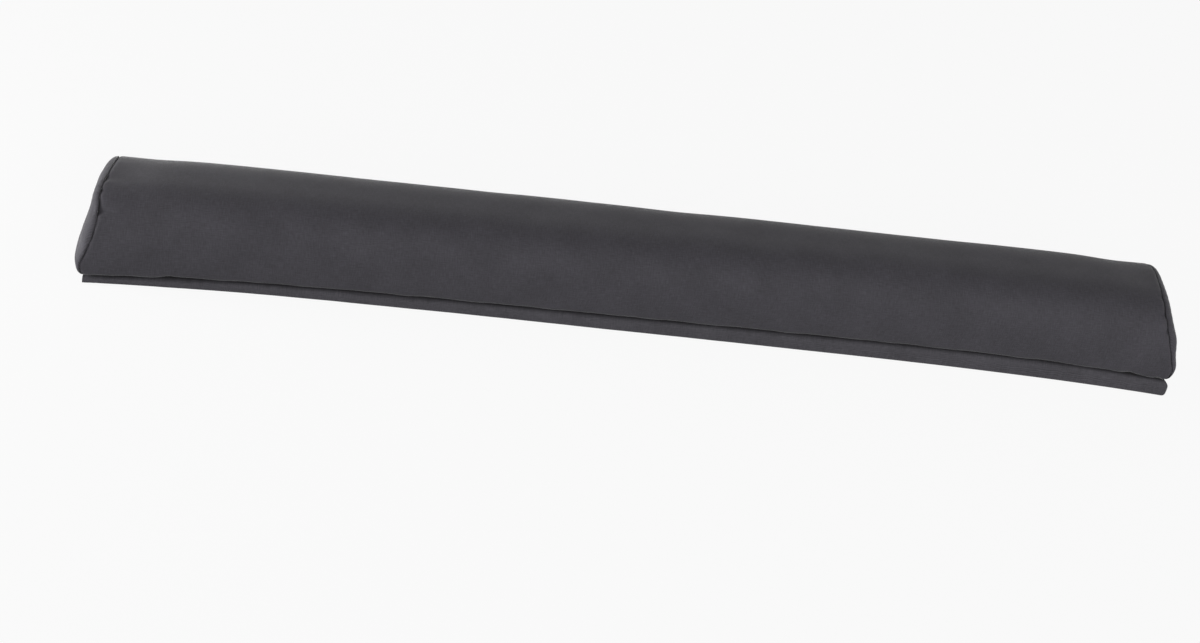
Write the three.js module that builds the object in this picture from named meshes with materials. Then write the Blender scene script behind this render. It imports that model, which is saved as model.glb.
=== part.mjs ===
// Roof rack pad: a foam block with a D-shaped section in a sewn cloth cover. Two cloth flaps
// under it wrap round a crossbar and close on each other with hook-and-loop tape.
// Millimetres. +X runs along the pad, +Z is up, and the pad lies on its closed wrap with the
// origin on the surface under its middle. The front flap is on the -Y side.
import * as THREE from 'three';

// Cover and foam
const PAD_LENGTH = 700; // over the cover's lower corners, where the pad is longest but for its pillows
const PAD_WIDTH = 88; // over the widest line of the sides
const CROWN_HEIGHT = 51; // from the crease seams to the crown
const COVER_CLOTH = 1.2; // woven polyester with its backing
const SEAM_GAP = 0.3; // between neighbouring cloths and between the cover and the foam
const TUCK = 5; // how far each crease seam lies in from the widest line
const TUCK_RISE = 9; // height of the widest line over the crease seams
const SIDE_FULLNESS = 3.2; // power of the section sideways: 2 is round, more is squarer
const CROWN_FULLNESS = 2.1; // the same upwards

// Ends
const END_PILLOW = 9.5; // how far each end panel bulges past its seam
const PILLOW_FULLNESS = 2.6; // 2 is an even dome, more is flatter in the middle
const EAR = 11; // how far the lower corners reach out past the end seams at the crown
const EAR_HEIGHT = 44; // height over the crease seams from which the end seams run straight up
const EAR_CURVE = 1.3; // 1 is a straight slope out to the lower corners, more is a hollow one
const END_TUCK = 1.5; // how far the cover draws in again from the lower corners to the crease seams
const LIP_LENGTH = 5; // length of the cover's edge that rolls in to the end seam
const LIP_ROLL = 1.2; // how far that edge rolls in
const LIP_DEPTH = 1; // how far the end panel's edge sits behind the cover's edge
const PILLOW_GAP = 0.8; // along the pad, between an end panel and the foam's end

// Wrap
const SLEEVE_DEPTH = 11; // from the surface under the wrap to the base panel
const FLAP_CLOTH = 1.4; // the flaps are cloth folded double
const WRAP_BULGE = 3; // how far the wrap's walls stand out from the crease seams
const WRAP_CORNER = 4.2; // radius of the fold at the foot of the walls
const WRAP_SETBACK = 2; // of the wrap's ends from the cover's lower corners
const FLAP_CORNER = 12; // radius at the corners of the free edges
const TAPE_WIDTH = 30;
const HOOK_THICKNESS = 1.2;
const LOOP_THICKNESS = 1.3;
const TAPE_CORNER = 3;
const TAPE_MARGIN = 2.5; // from the long edges of a tape to the free edge of its flap
const TAPE_END_MARGIN = 9; // from the ends of a tape to the ends of the wrap
const STEP_RUN = 9; // width of the step where the rear flap climbs over the front one
const STEP_CLEARANCE = 1; // from the front flap's free edge to the foot of that step

// How finely curves are divided
const CORNER_STEPS = 4;
const CROWN_STEPS = 22;
const BASE_STEPS = 8;
const LIP_STEPS = 3;
const LENGTH_STEPS = 6;
const PILLOW_STEPS = 6;
const FOLD_STEPS = 4;
const STEP_STEPS = 5;

// Level directions across the pad, as (distance from the middle, height)
const OUTWARD = new THREE.Vector2(1, 0);
const INWARD = new THREE.Vector2(-1, 0);

const halfWidth = PAD_WIDTH / 2;
const halfLength = PAD_LENGTH / 2;
const creaseZ = SLEEVE_DEPTH;
const creaseY = halfWidth - TUCK;
const hiddenClearance = COVER_CLOTH + SEAM_GAP;
const endPanelInset = COVER_CLOTH + LIP_ROLL + SEAM_GAP;
const wrapHalfLength = halfLength - WRAP_SETBACK;
const flapEdgeY = TAPE_WIDTH / 2 + TAPE_MARGIN;
const hookZ = FLAP_CLOTH;
const loopZ = hookZ + HOOK_THICKNESS;
const rearFlapZ = loopZ + LOOP_THICKNESS;

const coverCloth = new THREE.MeshStandardMaterial({ color: 0x35353a, roughness: 0.86, metalness: 0 });
const wrapCloth = new THREE.MeshStandardMaterial({ color: 0x303034, roughness: 0.9, metalness: 0 });
const foam = new THREE.MeshStandardMaterial({ color: 0x54555a, roughness: 0.95, metalness: 0 });
const hookNylon = new THREE.MeshStandardMaterial({ color: 0x1d1d20, roughness: 0.7, metalness: 0 });
const loopNylon = new THREE.MeshStandardMaterial({ color: 0x26262a, roughness: 1, metalness: 0 });

// A closed body from its corners and triangles, with its faces turned outwards.
function closedBody(corners, triangles) {
  let volume = 0;
  const cross = new THREE.Vector3();
  for (const [a, b, c] of triangles) {
    volume += corners[a].dot(cross.crossVectors(corners[b], corners[c]));
  }
  const index = triangles.flatMap(([a, b, c]) => (volume > 0 ? [a, b, c] : [a, c, b]));
  const geometry = new THREE.BufferGeometry().setFromPoints(corners);
  geometry.setIndex(index);
  geometry.computeVertexNormals();
  return geometry;
}

// A body between two rows-by-columns grids of points: its outer face, its inner face and its edges.
function sheetBody(outer, inner) {
  const rows = outer.length;
  const columns = outer[0].length;
  const corners = [...outer.flat(), ...inner.flat()];
  const inside = rows * columns;
  const at = (i, j) => i * columns + j;
  const triangles = [];
  for (let i = 0; i < rows - 1; i += 1) {
    for (let j = 0; j < columns - 1; j += 1) {
      const [a, b, c, d] = [at(i, j), at(i + 1, j), at(i + 1, j + 1), at(i, j + 1)];
      triangles.push([a, b, c], [a, c, d]);
      triangles.push([a + inside, c + inside, b + inside], [a + inside, d + inside, c + inside]);
    }
  }
  const rim = [];
  for (let i = 0; i < rows - 1; i += 1) rim.push(at(i, 0));
  for (let j = 0; j < columns - 1; j += 1) rim.push(at(rows - 1, j));
  for (let i = rows - 1; i > 0; i -= 1) rim.push(at(i, columns - 1));
  for (let j = columns - 1; j > 0; j -= 1) rim.push(at(0, j));
  rim.forEach((a, k) => {
    const b = rim[(k + 1) % rim.length];
    triangles.push([b, a, a + inside], [b, a + inside, b + inside]);
  });
  return closedBody(corners, triangles);
}

// A body through a row of closed rings, drawn together to a point at each end.
function ringBody(firstPole, rings, lastPole) {
  const count = rings[0].length;
  const corners = [firstPole, ...rings.flat(), lastPole];
  const last = corners.length - 1;
  const at = (k, j) => 1 + k * count + (j % count);
  const triangles = [];
  for (let j = 0; j < count; j += 1) {
    triangles.push([0, at(0, j + 1), at(0, j)]);
    triangles.push([last, at(rings.length - 1, j), at(rings.length - 1, j + 1)]);
  }
  for (let k = 0; k < rings.length - 1; k += 1) {
    for (let j = 0; j < count; j += 1) {
      const [a, b, c, d] = [at(k, j), at(k, j + 1), at(k + 1, j + 1), at(k + 1, j)];
      triangles.push([a, b, c], [a, c, d]);
    }
  }
  return closedBody(corners, triangles);
}

// A line moved sideways by a distance, to the right of its direction, with mitred corners.
// start and end are the directions in which it leaves its first point and meets its last.
function offsetLine(line, distance, start, end) {
  const steps = line.slice(1).map((point, i) => point.clone().sub(line[i]).normalize());
  const arriving = [start, ...steps.slice(0, -1), end];
  const leaving = [start, ...steps.slice(1), end];
  return line.map((point, i) => {
    const middle = arriving[i].clone().add(leaving[i]).normalize();
    const mitre = distance / middle.dot(arriving[i]);
    return new THREE.Vector2(point.x + middle.y * mitre, point.y - middle.x * mitre);
  });
}

// The cover's section in the YZ plane, from the front crease seam over the crown to the rear one.
function coverLine() {
  const front = [];
  for (let k = 0; k < CORNER_STEPS; k += 1) {
    const angle = (k / CORNER_STEPS) * (Math.PI / 2);
    const y = halfWidth - TUCK * (1 - Math.sin(angle));
    front.push(new THREE.Vector2(-y, creaseZ + TUCK_RISE * (1 - Math.cos(angle))));
  }
  const crown = [];
  for (let k = 0; k <= CROWN_STEPS; k += 1) {
    const angle = (k / CROWN_STEPS) * Math.PI;
    const across = Math.cos(angle);
    const y = Math.sign(across) * Math.abs(across) ** (2 / SIDE_FULLNESS) * halfWidth;
    const z = Math.abs(Math.sin(angle)) ** (2 / CROWN_FULLNESS) * (CROWN_HEIGHT - TUCK_RISE);
    crown.push(new THREE.Vector2(-y, creaseZ + TUCK_RISE + z));
  }
  const rear = front.map((point) => new THREE.Vector2(-point.x, point.y)).reverse();
  return [...front, ...crown, ...rear];
}

// The cover's line drawn in by a distance. It is level where it meets the crease seams.
function coverLineInside(inset) {
  return offsetLine(coverLine(), inset, INWARD, INWARD);
}

// The whole D outline, drawn in by a distance: the cover's line, closed by a straight base.
function outline(inset) {
  const line = coverLineInside(inset);
  const [first, last] = [line[0], line[line.length - 1]];
  for (let k = 1; k < BASE_STEPS; k += 1) line.push(last.clone().lerp(first, k / BASE_STEPS));
  return line;
}

// Half the cover's length at a height over the crease seams: straight near the crown, sloping out
// to the lower corners, then in again to the seam.
function endSeamX(height) {
  const ear = THREE.MathUtils.clamp((EAR_HEIGHT - height) / (EAR_HEIGHT - TUCK_RISE), 0, 1);
  const low = Math.max(0, 1 - height / TUCK_RISE);
  return halfLength - EAR * (1 - ear ** EAR_CURVE) - END_TUCK * (1 - Math.sqrt(1 - low * low));
}

// Stations along the pad: each is a share of the half length, less a distance back from its end.
function stations(endDepth, endSteps) {
  const leftEnd = [];
  for (let k = 0; k < endSteps; k += 1) {
    leftEnd.push({ share: -1, back: endDepth * (1 - Math.cos((k / endSteps) * (Math.PI / 2))) });
  }
  const middle = [];
  for (let k = 0; k <= LENGTH_STEPS; k += 1) middle.push({ share: (2 * k) / LENGTH_STEPS - 1, back: endDepth });
  const rightEnd = leftEnd.map(({ back }) => ({ share: 1, back })).reverse();
  return [...leftEnd, ...middle, ...rightEnd];
}

// The cover's top panel: one cloth from crease seam to crease seam, rolled in at its end edges.
function topPanel() {
  const heights = coverLine().map((point) => point.y - creaseZ);
  const face = (depth) =>
    stations(LIP_LENGTH, LIP_STEPS).map(({ share, back }) => {
      const rolled = 1 - back / LIP_LENGTH;
      const roll = LIP_ROLL * (1 - Math.sqrt(1 - rolled * rolled));
      return coverLineInside(depth + roll).map(
        (point, j) => new THREE.Vector3(share * (endSeamX(heights[j]) - back), point.x, point.y),
      );
    });
  return sheetBody(face(0), face(COVER_CLOTH));
}

// Rings of one pillowed end, from its edge to near its middle, and the point in the middle.
// The rings shrink towards the middle as a power curve while the surface rises by a cosine.
function pillow(side, inset, edgeBack, rise) {
  const edge = outline(inset);
  const edgeX = outline(0).map((point) => endSeamX(Math.max(0, point.y - creaseZ)) - edgeBack);
  const middleX = endSeamX(CROWN_HEIGHT) - edgeBack;
  const middle = new THREE.Vector2(0, creaseZ + CROWN_HEIGHT / 2);
  const rings = [];
  for (let k = 0; k < PILLOW_STEPS; k += 1) {
    const angle = (1 - k / PILLOW_STEPS) * (Math.PI / 2);
    const spread = Math.sin(angle) ** (2 / PILLOW_FULLNESS);
    rings.push(
      edge.map((point, j) => {
        const seat = THREE.MathUtils.lerp(middleX, edgeX[j], spread);
        const place = middle.clone().lerp(point, spread);
        return new THREE.Vector3(side * (seat + rise * Math.cos(angle)), place.x, place.y);
      }),
    );
  }
  return { rings, pole: new THREE.Vector3(side * (middleX + rise), middle.x, middle.y) };
}

// An end panel: a pillowed cloth cap inside the cover's rolled edge.
function endPanel(side) {
  const outer = pillow(side, endPanelInset, LIP_DEPTH, END_PILLOW);
  const inner = pillow(side, endPanelInset + COVER_CLOTH, LIP_DEPTH, END_PILLOW - COVER_CLOTH);
  return ringBody(inner.pole, [...inner.rings.reverse(), ...outer.rings], outer.pole);
}

// The foam block: it fills the cover, has a shoulder behind each end panel's edge and pillowed ends.
function foamCore() {
  const endInset = endPanelInset + hiddenClearance;
  const heights = outline(0).map((point) => Math.max(0, point.y - creaseZ));
  const left = pillow(-1, endInset, LIP_DEPTH + PILLOW_GAP, END_PILLOW - COVER_CLOTH);
  const right = pillow(1, endInset, LIP_DEPTH + PILLOW_GAP, END_PILLOW - COVER_CLOTH);
  const section = outline(hiddenClearance);
  const body = stations(LIP_LENGTH, 0).map(({ share, back }) =>
    section.map((point, j) => new THREE.Vector3(share * (endSeamX(heights[j]) - back), point.x, point.y)),
  );
  return ringBody(left.pole, [...left.rings.reverse(), ...body, ...right.rings], right.pole);
}

// The base panel: a flat cloth between the crease seams, which lies on the crossbar.
function basePanel() {
  const x = endSeamX(0);
  const y = creaseY - SEAM_GAP;
  const shape = new THREE.Shape([
    new THREE.Vector2(-x, -y),
    new THREE.Vector2(x, -y),
    new THREE.Vector2(x, y),
    new THREE.Vector2(-x, y),
  ]);
  const geometry = new THREE.ExtrudeGeometry(shape, { depth: COVER_CLOTH, bevelEnabled: false });
  return geometry.translate(0, 0, creaseZ);
}

// The wall of the wrap as a line down the middle of its cloth, in distance from the pad's middle
// and height: out from the crease seam, down, and round the fold at its foot.
function wallLine() {
  const topRadius = WRAP_BULGE - FLAP_CLOTH / 2;
  const wallY = creaseY + topRadius;
  const topZ = creaseZ - SEAM_GAP - FLAP_CLOTH / 2;
  const path = new THREE.Path();
  path.absarc(creaseY, topZ - topRadius, topRadius, Math.PI / 2, 0, true);
  const upper = path.getPoints(FOLD_STEPS);
  const foot = new THREE.Path();
  const radius = WRAP_CORNER - FLAP_CLOTH / 2;
  foot.absarc(wallY - radius, FLAP_CLOTH / 2 + radius, radius, 0, -Math.PI / 2, true);
  return [...upper, ...foot.getPoints(FOLD_STEPS)];
}

// The front flap lies flat under the pad, past the middle to its free edge.
function frontFlapLine() {
  return [...wallLine(), new THREE.Vector2(-flapEdgeY + FLAP_CORNER, FLAP_CLOTH / 2)];
}

// The rear flap climbs over the front one and its tapes in a smooth step, then lies flat.
function rearFlapLine() {
  const line = wallLine();
  const low = FLAP_CLOTH / 2;
  const high = rearFlapZ + FLAP_CLOTH / 2;
  const foot = flapEdgeY + STEP_CLEARANCE + STEP_RUN;
  for (let k = 0; k <= STEP_STEPS; k += 1) {
    const share = k / STEP_STEPS;
    const climb = (1 - Math.cos(share * Math.PI)) / 2;
    line.push(new THREE.Vector2(foot - STEP_RUN * share, low + (high - low) * climb));
  }
  line.push(new THREE.Vector2(-flapEdgeY + FLAP_CORNER, high));
  return line;
}

// A flap: cloth along a line, with rounded corners at its free edge. The line ends where the
// corners begin, and side is -1 for the front flap and 1 for the rear one.
function flap(line, side) {
  const end = line[line.length - 1];
  const backs = line.map(() => 0);
  for (let k = 1; k <= FOLD_STEPS; k += 1) {
    const angle = (k / FOLD_STEPS) * (Math.PI / 2);
    line.push(new THREE.Vector2(end.x - FLAP_CORNER * Math.sin(angle), end.y));
    backs.push(FLAP_CORNER * (1 - Math.cos(angle)));
  }
  const face = (depth) =>
    offsetLine(line, depth, OUTWARD, INWARD).map((point, i) =>
      stations(0, 0).map(
        ({ share }) => new THREE.Vector3(share * (wrapHalfLength - backs[i]), side * point.x, point.y),
      ),
    );
  return sheetBody(face(-FLAP_CLOTH / 2), face(FLAP_CLOTH / 2));
}

// A flat tape along the middle of the wrap, with rounded corners.
function tape(thickness, z) {
  const x = wrapHalfLength - TAPE_END_MARGIN;
  const y = TAPE_WIDTH / 2;
  const shape = new THREE.Shape();
  shape.absarc(x - TAPE_CORNER, y - TAPE_CORNER, TAPE_CORNER, 0, Math.PI / 2);
  shape.absarc(TAPE_CORNER - x, y - TAPE_CORNER, TAPE_CORNER, Math.PI / 2, Math.PI);
  shape.absarc(TAPE_CORNER - x, TAPE_CORNER - y, TAPE_CORNER, Math.PI, 1.5 * Math.PI);
  shape.absarc(x - TAPE_CORNER, TAPE_CORNER - y, TAPE_CORNER, 1.5 * Math.PI, 2 * Math.PI);
  const options = { depth: thickness, bevelEnabled: false, curveSegments: FOLD_STEPS };
  return new THREE.ExtrudeGeometry(shape, options).translate(0, 0, z);
}

function piece(name, geometry, material) {
  const mesh = new THREE.Mesh(geometry, material);
  mesh.name = name;
  return mesh;
}

const cushion = new THREE.Group();
cushion.add(piece('foam_core', foamCore(), foam));
cushion.add(piece('top_panel', topPanel(), coverCloth));
cushion.add(piece('left_end_panel', endPanel(-1), coverCloth));
cushion.add(piece('right_end_panel', endPanel(1), coverCloth));
cushion.add(piece('base_panel', basePanel(), coverCloth));

const wrap = new THREE.Group();
wrap.add(piece('front_flap', flap(frontFlapLine(), -1), wrapCloth));
wrap.add(piece('rear_flap', flap(rearFlapLine(), 1), wrapCloth));
wrap.add(piece('hook_tape', tape(HOOK_THICKNESS, hookZ), hookNylon));
wrap.add(piece('loop_tape', tape(LOOP_THICKNESS, loopZ), loopNylon));

const group = new THREE.Group();
group.add(cushion, wrap);

export default group;
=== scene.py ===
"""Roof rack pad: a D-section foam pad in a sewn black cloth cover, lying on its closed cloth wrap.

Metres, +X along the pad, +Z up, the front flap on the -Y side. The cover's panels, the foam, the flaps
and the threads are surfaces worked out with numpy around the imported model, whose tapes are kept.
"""

import logging
from dataclasses import dataclass
from enum import Enum

import bpy
import numpy as np
from mathutils import Matrix, Vector


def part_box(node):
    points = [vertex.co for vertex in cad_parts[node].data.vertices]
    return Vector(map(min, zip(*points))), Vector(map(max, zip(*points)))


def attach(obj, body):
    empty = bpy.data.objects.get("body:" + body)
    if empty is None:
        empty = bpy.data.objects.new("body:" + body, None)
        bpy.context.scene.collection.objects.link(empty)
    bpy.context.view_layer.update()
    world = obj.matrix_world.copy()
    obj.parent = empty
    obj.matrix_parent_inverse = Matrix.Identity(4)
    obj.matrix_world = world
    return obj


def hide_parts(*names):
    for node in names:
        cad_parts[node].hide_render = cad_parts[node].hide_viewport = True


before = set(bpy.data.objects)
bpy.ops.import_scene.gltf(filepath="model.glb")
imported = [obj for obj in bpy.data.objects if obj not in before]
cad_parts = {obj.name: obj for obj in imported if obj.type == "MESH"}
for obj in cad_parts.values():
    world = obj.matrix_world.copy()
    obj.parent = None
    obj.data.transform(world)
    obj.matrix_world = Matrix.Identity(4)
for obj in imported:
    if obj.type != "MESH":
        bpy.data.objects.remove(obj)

LOG = logging.getLogger("roof_rack_pad")
MM = 0.001
IMAGE_WIDTH = 1200
SENSOR_WIDTH = 36.0
SEAT_SETTLE = 1.2 * MM  # how far the cushion presses its folded wrap down
CROWN_SLACK = 0.8 * MM  # the cloth starts this much low and swells up to its height
FOAM_CLEARANCE = 0.6 * MM  # between the foam and the cloth at its tightest
SEAM_ALLOWANCE = 0.4 * MM  # between the base panel's edge and the crease seam
CORNER_POINTS, CROWN_POINTS, SECTION_POINTS = 200, 1601, 1201  # to work out the D section


class Side(Enum):
    """Which way a mirrored piece faces: the sign of its coordinate."""

    LOW = -1
    HIGH = 1


# Smooth patterns along a seam or a cloth


def ripple(position: np.ndarray, wavelength: float, seed: int) -> np.ndarray:
    """Gives a smooth, uneven wave: the mean of five sines of nearby wavelengths.

    Args:
        position: distances along a cloth, of any shape.
        wavelength: the middle wavelength, in the same unit.
        seed: picks the wavelengths and phases.

    Returns:
        Heights from about -1 to 1, shaped like position.
    """
    rng = np.random.default_rng(seed)
    lengths = wavelength * rng.uniform(0.6, 1.7, 5)
    phases = rng.uniform(0, 2 * np.pi, 5)
    waves = np.sin(2 * np.pi * position[..., None] / lengths + phases)
    return waves.mean(axis=-1) * 1.6


def gathers(position: np.ndarray, pitch: float, seed: int) -> np.ndarray:
    """Gives the small folds that stitches pull into a seam: squared half-cosines, unevenly spaced.

    Args:
        position: distances along the seam.
        pitch: the mean distance from fold to fold.
        seed: picks the unevenness.

    Returns:
        Depths from 0 between folds to about 1 in them.
    """
    phase = position / pitch + 0.45 * ripple(position, 7 * pitch, seed)
    strength = 0.55 + 0.45 * ripple(position, 5 * pitch, seed + 1)
    return (0.5 - 0.5 * np.cos(2 * np.pi * phase)) ** 2 * np.clip(strength, 0, 1.3)


def resampled(values: np.ndarray, targets: np.ndarray, axis: int) -> np.ndarray:
    """Reads evenly spaced values at any places along one axis, by the Catmull-Rom cubic.

    Args:
        values: an array whose rows along axis lie evenly from 0 to 1.
        targets: places from 0 to 1.
        axis: the axis to resample.

    Returns:
        The array with len(targets) rows along that axis.
    """
    rows = np.moveaxis(values, axis, 0)
    last = len(rows) - 1
    place = np.clip(targets, 0, 1) * last
    base = np.minimum(place.astype(int), last - 1)
    t = (place - base).reshape(-1, *([1] * (rows.ndim - 1)))
    p0, p1 = rows[np.maximum(base - 1, 0)], rows[base]
    p2, p3 = rows[base + 1], rows[np.minimum(base + 2, last)]
    square, cube = 2 * p0 - 5 * p1 + 4 * p2 - p3, 3 * (p1 - p2) + p3 - p0
    curve = p1 + 0.5 * t * (p2 - p0 + t * (square + t * cube))
    return np.moveaxis(curve, 0, axis)


# Meshes from grids


def grid_faces(rows: int, columns: int, closed: bool = False) -> np.ndarray:
    """Lists the quads of a grid of points.

    Args:
        rows: rows of points.
        columns: points in a row.
        closed: joins the last column to the first.

    Returns:
        Four point numbers a quad.
    """
    index = np.arange(rows * columns).reshape(rows, columns)
    if closed:
        index = np.concatenate([index, index[:, :1]], axis=1)
    corners = [index[:-1, :-1], index[1:, :-1], index[1:, 1:], index[:-1, 1:]]
    return np.stack(corners, axis=-1).reshape(-1, 4)


def mesh_piece(
    name: str,
    points: np.ndarray,
    quads: np.ndarray,
    triangles: np.ndarray,
    uv: np.ndarray,
    painted_shade: np.ndarray | None = None,
) -> bpy.types.Object:
    """Makes a smooth mesh object at the origin.

    Args:
        name: the piece's name.
        points: corners, one row each, in metres.
        quads: four corner numbers a row.
        triangles: three corner numbers a row, or an empty array.
        uv: the cloth's own coordinates of each corner, in metres.
        painted_shade: how strongly painted shade darkens each corner's colour near a seam or crease, from
            0 to 1.

    Returns:
        The new object, linked to the scene.
    """
    mesh = bpy.data.meshes.new(name)
    faces = [*quads.tolist(), *triangles.tolist()]
    mesh.from_pydata(points.reshape(-1, 3).tolist(), [], faces)
    layer = mesh.uv_layers.new(name="Cloth")
    corner = np.zeros(len(mesh.loops), np.int32)
    mesh.loops.foreach_get("vertex_index", corner)
    layer.data.foreach_set("uv", uv.reshape(-1, 2)[corner].astype(np.float32).ravel())
    mesh.polygons.foreach_set("use_smooth", np.ones(len(mesh.polygons), bool))
    # Stores the painted seam and crease shade mask, which the cloth material darkens its colour by.
    if painted_shade is not None:
        depth = mesh.attributes.new("PaintedShade", "FLOAT", "POINT")
        depth.data.foreach_set("value", painted_shade.astype(np.float32).ravel())
    mesh.update()
    piece = bpy.data.objects.new(name, mesh)
    bpy.context.scene.collection.objects.link(piece)
    return piece


def sheet_piece(
    name: str, grid: np.ndarray, uv: np.ndarray, painted_shade: np.ndarray | None = None
) -> bpy.types.Object:
    """Makes an open sheet from a rows-by-columns grid of points."""
    none = np.zeros((0, 3), int)
    return mesh_piece(name, grid, grid_faces(*grid.shape[:2]), none, uv, painted_shade)


def near_seam(distance: np.ndarray, reach: float) -> np.ndarray:
    """Gives the strength of the painted shade near a seam: a bell of the distance from the seam."""
    return np.exp(-((distance / reach) ** 2))


def thicken(
    piece: bpy.types.Object, thickness: float, offset: float, rim_roundness: float = 0.0
) -> None:
    """Gives a sheet its cloth's thickness.

    Args:
        piece: the sheet.
        thickness: the cloth's thickness.
        offset: -1 grows the cloth behind the faces, 0 to both sides.
        rim_roundness: how far the sheet's raw edges are rounded, as a bevel width.
    """
    solid = piece.modifiers.new("cloth", "SOLIDIFY")
    solid.thickness = thickness
    solid.offset = offset
    solid.use_even_offset = False
    solid.use_rim = True
    if rim_roundness:
        bevel = piece.modifiers.new("edge", "BEVEL")
        bevel.width = rim_roundness
        bevel.segments = 2
        bevel.limit_method = "ANGLE"
        bevel.angle_limit = np.radians(60)


# Finishes


class NodeBench:
    """Writes nodes into a material or a node group."""

    def __init__(self, tree: bpy.types.NodeTree) -> None:
        """Empties the tree."""
        self.tree = tree
        tree.nodes.clear()

    def add(
        self, kind: str, inputs: dict[str | int, object] | None = None, **settings: object
    ) -> bpy.types.Node:
        """Adds a node.

        Args:
            kind: the node's type.
            inputs: another node's output, or a plain value, for each input socket.
            settings: the node's own properties.

        Returns:
            The new node.
        """
        node = self.tree.nodes.new(kind)
        for key, value in settings.items():
            setattr(node, key, value)
        for socket, value in (inputs or {}).items():
            if isinstance(value, bpy.types.NodeSocket):
                self.tree.links.new(value, node.inputs[socket])
            else:
                node.inputs[socket].default_value = value
        return node

    def math(self, operation: str, *values: object) -> bpy.types.NodeSocket:
        """Adds a Math node on sockets or numbers and returns its output."""
        return self.add("ShaderNodeMath", dict(enumerate(values)), operation=operation).outputs[0]

    def noise(
        self, vector: bpy.types.NodeSocket, scale: object, detail: float, rough: float = 0.5
    ) -> bpy.types.NodeSocket:
        """Adds a noise texture and returns its value."""
        inputs = {"Vector": vector, "Scale": scale, "Detail": detail, "Roughness": rough}
        return self.add("ShaderNodeTexNoise", inputs).outputs["Fac"]

    def mix(self, factor: object, first: object, second: object) -> bpy.types.NodeSocket:
        """Adds a colour mix and returns its result."""
        inputs = {0: factor, 6: first, 7: second}
        return self.add("ShaderNodeMix", inputs, data_type="RGBA").outputs[2]


class MaterialBench(NodeBench):
    """Writes one material."""

    def __init__(self, name: str) -> None:
        """Makes the material and empties it."""
        self.material = bpy.data.materials.new(name)
        self.material.use_nodes = True
        super().__init__(self.material.node_tree)

    def finish(
        self, inputs: dict[str, object], height: bpy.types.NodeSocket, depth: float, strength: float
    ) -> bpy.types.Material:
        """Adds the shader, the bump that feeds its normal, and the output.

        Args:
            inputs: the shader's own inputs, by name.
            height: the pattern's height, from 0 to about 1.
            depth: how deep the pattern is.
            strength: how much of it shows.

        Returns:
            The material.
        """
        bump_inputs = {"Strength": strength, "Distance": depth, "Height": height}
        bump = self.add("ShaderNodeBump", bump_inputs)
        shader = self.add("ShaderNodeBsdfPrincipled", {**inputs, "Normal": bump.outputs[0]})
        self.add("ShaderNodeOutputMaterial", {"Surface": shader.outputs[0]})
        return self.material


def node_group(
    name: str, inputs: dict[str, str], outputs: dict[str, str]
) -> tuple[bpy.types.NodeTree, NodeBench]:
    """Makes an empty shader node group with named sockets.

    Args:
        name: the group's name.
        inputs: input names and their socket types.
        outputs: output names and their socket types.

    Returns:
        The group and a bench that writes into it.
    """
    group = bpy.data.node_groups.new(name, "ShaderNodeTree")
    for way, sockets in (("INPUT", inputs), ("OUTPUT", outputs)):
        for socket, kind in sockets.items():
            group.interface.new_socket(socket, in_out=way, socket_type=kind)
    return group, NodeBench(group)


FLOAT, VECTOR, COLOUR = "NodeSocketFloat", "NodeSocketVector", "NodeSocketColor"


def weave_group() -> bpy.types.NodeTree:
    """Builds a plain weave.

    Warp and weft are rounded ridges, and each rises where the other dips: with c the product of
    the sines across both threads, the height is half of (1 + c) times the warp's ridge plus
    (1 - c) times the weft's. Threads vary in tone along their length, and the cloth in patches.

    Returns:
        The node group, which gives a colour and a height.
    """
    inputs = {"Cloth": VECTOR, "Pitch": FLOAT, "Dark": COLOUR, "Light": COLOUR, "Slub": FLOAT}
    outputs = {"Colour": COLOUR, "Roughness": FLOAT, "Height": FLOAT}
    group, bench = node_group("plain_weave", inputs, outputs)
    given = bench.add("NodeGroupInput").outputs
    parts = bench.add("ShaderNodeSeparateXYZ", {0: given["Cloth"]})
    waver = bench.noise(given["Cloth"], 90.0, 2.0)
    drift = bench.math("MULTIPLY", bench.math("SUBTRACT", waver, 0.5), 1.6 * MM)
    waves = []
    for axis in (0, 1):
        place = bench.math("ADD", parts.outputs[axis], drift)
        turns = bench.math("DIVIDE", place, given["Pitch"])
        waves.append(bench.math("SINE", bench.math("MULTIPLY", turns, np.pi)))
    crossing = bench.math("MULTIPLY", waves[0], waves[1])
    ridges = [bench.math("ABSOLUTE", wave) for wave in waves]
    warp = bench.math("MULTIPLY", bench.math("ADD", crossing, 1.0), ridges[0])
    weft = bench.math("MULTIPLY", bench.math("SUBTRACT", 1.0, crossing), ridges[1])
    weave = bench.math("MULTIPLY", bench.math("ADD", warp, weft), 0.5)
    slubs = []
    for stretch in ((180.0, 1700.0, 1.0), (1700.0, 180.0, 1.0)):
        along = bench.add("ShaderNodeVectorMath", {0: given["Cloth"], 1: stretch}, operation="MULTIPLY")
        slubs.append(bench.noise(along.outputs[0], 1.0, 2.0, 0.6))
    slub = bench.math("SUBTRACT", bench.math("ADD", slubs[0], slubs[1]), 1.0)
    slub = bench.math("MULTIPLY", slub, given["Slub"])
    patch = bench.math("SUBTRACT", bench.noise(given["Cloth"], 38.0, 3.0), 0.5)
    tone = bench.math("ADD", bench.math("MULTIPLY_ADD", weave, 0.75, -0.05), slub)
    tone = bench.math("ADD", tone, bench.math("MULTIPLY", patch, 0.5))
    clamp = bench.add("ShaderNodeClamp", {0: tone})
    made = {
        "Colour": bench.mix(clamp.outputs[0], given["Dark"], given["Light"]),
        "Roughness": bench.math("MULTIPLY_ADD", slub, 0.3, 0.8),
        "Height": bench.math("ADD", weave, bench.math("MULTIPLY", slub, 0.5)),
    }
    bench.add("NodeGroupOutput", made)
    return group


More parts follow.
